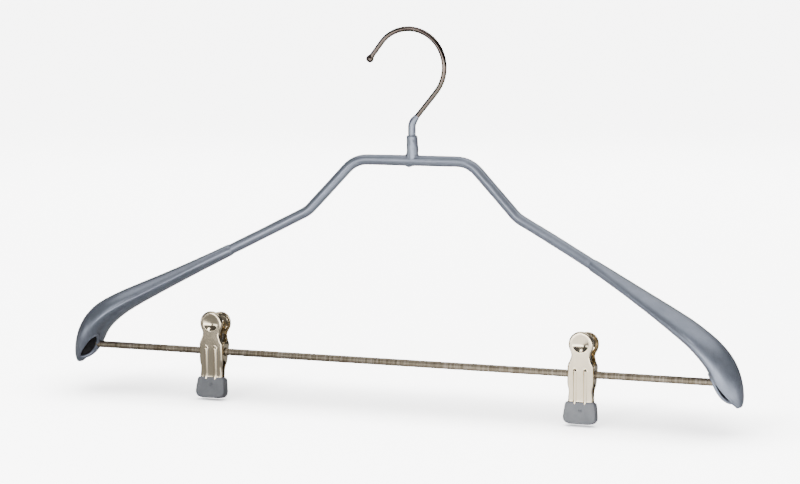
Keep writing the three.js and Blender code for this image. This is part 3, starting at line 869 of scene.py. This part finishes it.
def circle_points(centre, radii, spacing):
    """Points on circles round a centre, about evenly spaced."""
    points = []
    for radius in radii:
        count = max(int(2 * math.pi * radius / spacing), 6)
        for c, s in zip(*circle(count)):
            points.append((centre[0] + radius * c, centre[1] + radius * s))
    return points


def jaw_relief(x, z):
    """How far the jaw's pressed features stand back from its face: the dish in the tab and the two ribs."""
    r = np.hypot(x, z - JAW_TAB["z"])
    dish = DISH["depth"] * np.clip((DISH["radius"] ** 2 - r ** 2) / DISH["radius"] ** 2, 0, 1)
    ribs = 0
    for side in (-1, 1):
        off = np.hypot(x - side * RIB["x"], np.maximum(z - RIB["top"], 0) * 0.8)
        ribs = ribs + RIB["height"] * np.clip(1 - (off / RIB["half_width"]) ** 2, 0, 1) ** 0.8
    return dish - ribs * np.clip((z + 18.5) / 0.8, 0, 1)


def rim_depth(x, z):
    """How far the jaw's rolled edge reaches back at each place on its outline, ear included."""
    rim = RIM_DEPTH - 1.1 * np.clip((-13 - z) / 1.5, 0, 1)
    lobe = np.sqrt(np.clip(1 - (z / EAR["half_height"]) ** 2, 0, 1))
    ear = np.maximum(-face_depth(z) * np.clip(lobe * 4, 0, 1) + EAR["reach"] * lobe, rim)
    clearance = np.where(np.abs(z) < 6.6, ROLL, rim)
    at_side = np.abs(x) > 5
    return np.where(at_side & (x < 0), ear, np.where(at_side, clearance, rim))


def jaw_relief_points():
    """Places on the jaw's face that need points of their own: round the dish, and along the ribs."""
    dish = circle_points((0, JAW_TAB["z"]), DISH["rings"], 0.5)
    ribs = [
        (side * RIB["x"] + off, z)
        for side in (-1, 1)
        for off in RIB["points_across"]
        for z in np.arange(*RIB["points_along"])
    ]
    return np.array(dish + ribs)


def rolled_edge(outline):
    """Rings from the jaw's face round its edge and back, to the depth of its rim and outer ear."""
    rings = []
    for turn in np.linspace(0, math.pi / 2, 6):
        x, z = inset_loop(outline, ROLL * (1 - math.sin(turn))).T
        rings.append(columns(x, face_depth(z) + ROLL * (1 - math.cos(turn)), z))
    x, z = outline.T
    deepest = np.maximum(rim_depth(x, z), ROLL + 0.3)
    deepest = smoothed(deepest[:, None], 1.5, closed=True)[:, 0]
    for part in np.linspace(0, 1, 8)[1:]:
        rings.append(columns(x, face_depth(z) + (ROLL + (deepest - ROLL) * part), z))
    return rings


def jaw_sheet():
    """The jaw's pressed sheet: face, rolled edge and outer ear."""
    outline = jaw_outline()
    flat, triangles = filled(inset_loop(outline, ROLL), jaw_relief_points(), JAW_GRID)
    x, z = flat.T
    face = columns(x, face_depth(z) + jaw_relief(x, z), z)
    rings = rolled_edge(outline)
    faces = triangles + ring_faces(len(rings), len(outline), len(flat))
    return mesh_object("jaw", np.concatenate([face, *rings]), faces, height=0)


def inner_ear():
    """The ear on the jaw's other side, set in so that the opposite jaw's outer ear laps over it."""
    angles = np.linspace(-math.pi / 2, math.pi / 2, 28)
    lobe = [(EAR["reach"] * math.cos(a), EAR["half_height"] * math.sin(a)) for a in angles]
    heights = np.linspace(EAR["half_height"], -EAR["half_height"], 12)
    back = [(float(face_depth(z)) + JAW_SHEET / 2, z) for z in heights]
    section = np.array(lobe + back)
    rings = [columns(EAR["inner_x"] + off, section[:, 0], section[:, 1]) for off in (0, JAW_SHEET)]
    count = len(section)
    faces = ring_faces(2, count) + [tuple(range(count)), tuple(range(count, 2 * count))]
    return mesh_object("inner_ear", np.concatenate(rings), faces, height=0)


def rod_along_x(radius, low, high):
    c, s = circle(ROD_SIDES)
    return mesh_object("rod", *lofted([columns(x, radius * c, radius * s) for x in (low, high)]), height=0)


def jaw():
    """The jaw: its sheet made thick, with both ears bored for the bar and every edge eased."""
    obj = jaw_sheet()
    thickness = obj.modifiers.new("sheet", "SOLIDIFY")
    thickness.thickness = JAW_SHEET * MM
    thickness.offset = -1
    thickness.use_even_offset = True
    apply_modifiers(obj)
    combine(obj, inner_ear(), "UNION")
    combine(obj, rod_along_x(EAR["hole_radius"], -12, 12), "DIFFERENCE")
    rounded_edges(obj, 0.12)
    return obj


def pad_outline():
    """The pad from the front as a smooth loop, clockwise, with a nick where each rib enters it."""
    top, bottom, wide, low_wide = PAD["top"], PAD["bottom"], PAD["half_top"], PAD["half_bottom"]
    nicked = top - PAD_NICK
    right = [
        (0, top), (1.9, top), (2.4, top - 0.1), (2.7, nicked), (3.3, nicked), (3.6, top - 0.1), (4.1, top),
        (wide - 1.2, top), (wide, top - 1.0), (low_wide - 0.3, bottom + 4.2), (low_wide - 0.5, bottom + 2.4),
        (low_wide - 1.9, bottom + 0.7), (low_wide - 4.2, bottom), (0, bottom),
    ]
    left = [(-x, z) for x, z in reversed(right)]
    return smoothed(resampled(right + left[1:-1], 0.3, closed=True), 1.3, closed=True)


def pad_sides(outline):
    """Rings from the pad's front face round its soft front edge, along its side and in to its back."""
    rings = []
    for turn in np.linspace(0, math.pi / 2, 7):
        x, z = inset_loop(outline, PAD_ROLL["front"] * (1 - math.sin(turn))).T
        rings.append(columns(x, PAD["front"] + PAD_ROLL["front"] * (1 - math.cos(turn)), z))
    for turn in np.linspace(0, math.pi / 2, 4):
        x, z = inset_loop(outline, PAD_ROLL["back"] * (1 - math.cos(turn))).T
        rings.append(columns(x, PAD["back"] - PAD_ROLL["back"] * (1 - math.sin(turn)), z))
    return rings


def pad():
    """The vinyl pad: a soft block with a dimple in its front and a flat grip face at its back."""
    outline = pad_outline()
    dimple_points = np.array(circle_points(DIMPLE["at"], DIMPLE["rings"], 0.3))
    flat, triangles = filled(inset_loop(outline, PAD_ROLL["front"]), dimple_points, PAD_GRID)
    x, z = flat.T
    off = np.hypot(x - DIMPLE["at"][0], z - DIMPLE["at"][1])
    dimple = DIMPLE["depth"] * np.clip(1 - off / DIMPLE["radius"], 0, 1) ** 1.2
    rings = pad_sides(outline)
    count, first = len(outline), len(flat)
    last = first + (len(rings) - 1) * count
    faces = triangles + ring_faces(len(rings), count, first) + [tuple(range(last, last + count))]
    points = np.concatenate([columns(x, PAD["front"] + dimple, z), *rings])
    return mesh_object("pad", points, faces, height=0)


def spring_point(along):
    """A point on the torsion spring: below 0 up the front arm, then round the coil, then up the rear arm."""
    wound = min(max(along / COIL_LENGTH, 0), 1)
    angle = -2 * math.pi * SPRING["turns"] * wound
    past = -along if along < 0 else max(along - COIL_LENGTH, 0)
    lean = math.copysign(1, along) * past * SPRING["lean"]
    return (
        SPRING["pitch"] * SPRING["turns"] * (wound - 0.5),
        -SPRING["radius"] * math.cos(angle) + lean,
        -SPRING["radius"] * math.sin(angle) + past,
    )


def spring_piece(name, start, end):
    path = np.array([spring_point(a) for a in np.arange(start, end + 0.01, SPRING_STEP)])
    return mesh_object(name, *lofted(tube(path, SPRING["wire"], SPRING_SIDES)), height=0)


def pivot_tube():
    """The spacer tube on the bar, between the ears."""
    outer, bore, edge = PIVOT_TUBE["radius"], PIVOT_TUBE["bore"], PIVOT_TUBE["edge"]
    half = PIVOT_TUBE["length"] / 2
    profile = [
        (-half, bore + edge), (-half, outer - edge), (-half + edge, outer), (half - edge, outer),
        (half, outer - edge), (half, bore + edge), (half - edge, bore), (-half + edge, bore),
    ]
    c, s = circle(ROD_SIDES)
    rings = [columns(x, r * c, r * s) for x, r in profile]
    faces = ring_faces(len(rings), ROD_SIDES) + closing_faces(len(rings), ROD_SIDES)
    return mesh_object("pivot", np.concatenate(rings), faces, height=0)


def placed_copy(shape, name, place):
    obj = linked_object(name, shape.data.copy())
    obj.data.transform(place)
    return obj


def clips(nickel, steel, vinyl):
    """Both clips. Their rear jaws and pads are the front ones turned half round."""
    shapes = {
        "jaw": jaw(), "pad": pad(), "pivot": pivot_tube(),
        "coil": spring_piece("coil", -0.2, COIL_LENGTH + 0.2),
        "front_arm": spring_piece("front_arm", -SPRING["arm"], 1.0),
        "rear_arm": spring_piece("rear_arm", COIL_LENGTH - 1.0, COIL_LENGTH + SPRING["arm"]),
    }
    half_turn = Matrix.Rotation(math.pi, 4, "Z")
    for side in ("left", "right"):
        low, high = (Vector(corner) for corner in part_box(f"{side}_pivot_tube"))
        front = Matrix.Translation((low + high) / 2) @ Matrix.Rotation(CLIP_SWING, 4, "X")
        for which, place in (("front", front), ("rear", front @ half_turn)):
            body = f"{side}_{which}_jaw"
            finished(placed_copy(shapes["jaw"], f"{side}_{which}_clip_jaw", place),
                     nickel, body, [body])
            finished(placed_copy(shapes["pad"], f"{side}_{which}_clip_pad", place),
                     vinyl, body, [f"{side}_{which}_pad"], 60)
            finished(placed_copy(shapes[f"{which}_arm"], f"{side}_{which}_spring_arm", front),
                     steel, body, [])
        finished(placed_copy(shapes["coil"], f"{side}_spring_coil", front),
                 steel, f"{side}_front_jaw", [f"{side}_spring"])
        finished(placed_copy(shapes["pivot"], f"{side}_spacer", front),
                 steel, f"{side}_clip_slider", [f"{side}_pivot_tube"])
    for shape in shapes.values():
        bpy.data.objects.remove(shape)


# ---- Studio ----


def camera():
    """A long lens from the front right, a little above the hanger and slightly tilted."""
    azimuth, pitch, roll = (math.radians(CAMERA[turn]) for turn in ("azimuth", "pitch", "roll"))
    level = math.cos(pitch)
    back = Vector((math.sin(azimuth) * level, -math.cos(azimuth) * level, math.sin(pitch)))
    right = Vector((math.cos(azimuth), math.sin(azimuth), 0))
    up = back.cross(right)
    across = right * math.cos(roll) + up * math.sin(roll)
    upward = up * math.cos(roll) - right * math.sin(roll)
    data = bpy.data.cameras.new("camera")
    data.sensor_width = CAMERA["sensor"]
    data.lens = CAMERA["lens"]
    data.shift_x = CAMERA["shift"]
    obj = linked_object("camera", data)
    place = Matrix.Translation(Vector(CAMERA["target"]) + back * CAMERA["distance"])
    obj.matrix_world = place @ Matrix((across, upward, back)).transposed().to_4x4()
    bpy.context.scene.camera = obj


def area_light(name, place, aim, size, power):
    """A soft rectangular light, facing a point."""
    data = bpy.data.lights.new(name, "AREA")
    data.shape = "RECTANGLE"
    data.size, data.size_y = size
    data.energy = power
    obj = linked_object(name, data)
    obj.location = place
    obj.rotation_euler = (Vector(aim) - Vector(place)).to_track_quat("-Z", "Y").to_euler()


def overhead_light():
    """Very soft light from above, tilted a little."""
    data = bpy.data.lights.new("overhead", "SUN")
    data.energy = SUN["power"]
    data.angle = SUN["spread"]
    linked_object("overhead", data).rotation_euler = (SUN["tilt"], 0, 0)


def past_edge(tree, place, direction, edge):
    """0 before the edge's start along a direction, easing to 1 at its end."""
    along = node_output(
        tree, "ShaderNodeVectorMath", "Value", {0: place, 1: direction}, operation="DOT_PRODUCT",
    )
    inputs = {"Value": along, "From Min": edge[0], "From Max": edge[1]}
    return node_output(tree, "ShaderNodeMapRange", "Result", inputs, interpolation_type="SMOOTHSTEP")


def product(tree, first, second):
    return node_output(tree, "ShaderNodeMath", "Value", {0: first, 1: second}, operation="MULTIPLY")


def diffuse(tree, amount, low, high):
    """A matt surface whose brightness goes from low to high as the amount goes from 0 to 1."""
    inputs = {"Value": amount, "To Min": low, "To Max": high}
    level = node_output(tree, "ShaderNodeMapRange", "Result", inputs)
    return node_output(tree, "ShaderNodeBsdfDiffuse", "BSDF", {"Color": level})


def camera_split(tree, felt, shown):
    """One shader for the rays that the camera sees, and another for all light and reflections."""
    camera_ray = tree.nodes.new("ShaderNodeLightPath").outputs["Is Camera Ray"]
    return node_output(tree, "ShaderNodeMixShader", "Shader", {"Fac": camera_ray, 1: felt, 2: shown})


def shown_floor(tree, place):
    """The floor that the camera sees: pale, shaded under the hanger, and gone well in front of it."""
    middle, depth, reach = POOL["middle"], POOL["half_depth"], POOL["half_length"]
    front = past_edge(tree, place, (0, 1, 0), (middle - depth, middle))
    rear = past_edge(tree, place, (0, -1, 0), (-middle - depth, -middle))
    ends = [past_edge(tree, place, (side, 0, 0), (-reach, POOL["fade"] - reach)) for side in (-1, 1)]
    shade = product(tree, product(tree, front, rear), product(tree, *ends))
    pale = diffuse(tree, shade, FLOOR_SHOWN, FLOOR_SHOWN * (1 - POOL["shade"]))
    gone = past_edge(tree, place, (0, -1, 0), FLOOR_GOES)
    clear = tree.nodes.new("ShaderNodeBsdfTransparent").outputs["BSDF"]
    return node_output(tree, "ShaderNodeMixShader", "Shader", {"Fac": gone, 1: pale, 2: clear})


def felt_floor(tree, place):
    """The floor that lights the hanger: dull, but bright at the front right."""
    right = past_edge(tree, place, (1, -FELT_SLANT, 0), FELT_ACROSS)
    near = past_edge(tree, place, (0, -1, 0), FELT_NEAR)
    return diffuse(tree, product(tree, right, near), *FLOOR_FELT)


def studio_floor():
    """A pale floor just under the lowest pad."""
    half = FLOOR_HALF / MM
    corners = [(-half, -half, 0), (half, -half, 0), (half, half, 0), (-half, half, 0)]
    floor = mesh_object("floor", corners, [(0, 1, 2, 3)], height=0)
    pads = [f"{side}_{which}_pad" for side in ("left", "right") for which in ("front", "rear")]
    floor.location.z = min(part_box(node)[0][2] for node in pads) - FLOOR_GAP
    paint = bpy.data.materials.new("floor")
    paint.use_nodes = True
    tree = paint.node_tree
    tree.nodes.remove(tree.nodes["Principled BSDF"])
    place = tree.nodes.new("ShaderNodeTexCoord").outputs["Object"]
    surface = camera_split(tree, felt_floor(tree, place), shown_floor(tree, place))
    tree.links.new(surface, tree.nodes["Material Output"].inputs["Surface"])
    floor.data.materials.append(paint)


def studio_world():
    """A pale surround for the camera, and a dim studio with a brighter ceiling for light and reflections."""
    world = bpy.data.worlds.new("studio")
    bpy.context.scene.world = world
    world.use_nodes = True
    tree = world.node_tree
    way = tree.nodes.new("ShaderNodeTexCoord").outputs["Generated"]
    upward = node_output(tree, "ShaderNodeSeparateXYZ", "Z", {"Vector": way})
    height = node_output(tree, "ShaderNodeMapRange", "Result", {"Value": upward, "From Min": -1})
    stops = [(place, [glow * tint for tint in STUDIO_TINT]) for place, glow in STUDIO_GLOW]
    studio_light = tree.nodes["Background"]
    tree.links.new(ramp_output(tree, height, stops), studio_light.inputs["Color"])
    surround = node_output(tree, "ShaderNodeBackground", "Background", {"Strength": SURROUND_SHOWN})
    surface = camera_split(tree, studio_light.outputs["Background"], surround)
    tree.links.new(surface, tree.nodes["World Output"].inputs["Surface"])


def studio():
    studio_floor()
    studio_world()
    overhead_light()
    for light in AREA_LIGHTS:
        area_light(*light)


# ---- The hanger ----


def hanger():
    """Every piece, with its material, its body and the CAD nodes that it stands for."""
    coating = coating_material()
    # The hook gets the darkened nickel, its painted shade.
    finished(hook(), nickel_material("hook_nickel_painted_shade", HOOK_NICKEL_SHADED), "hook", ["hook_wire"])
    finished(stem_sleeve(), coating, "hook", ["stem_coat"])
    coated = frame_tube()
    combine(coated, neck(), "UNION")
    finished(coated, coating, "frame", ["frame_coat", "frame_wire", "neck_tube"])
    right = right_shoulder(coating, inside_material())
    left = mirrored_copy(right, "left_shoulder")
    droop(right)
    finished(right, coating, "frame", ["right_shoulder_coat", "right_shoulder_shell"])
    finished(left, coating, "frame", ["left_shoulder_coat", "left_shoulder_shell"])
    finished(clip_bar(), bar_material(), "frame", ["clip_bar"], 60)
    clips(nickel_material("clip_nickel", CLIP_NICKEL), steel_material(), vinyl_material())


camera()
hanger()
studio()
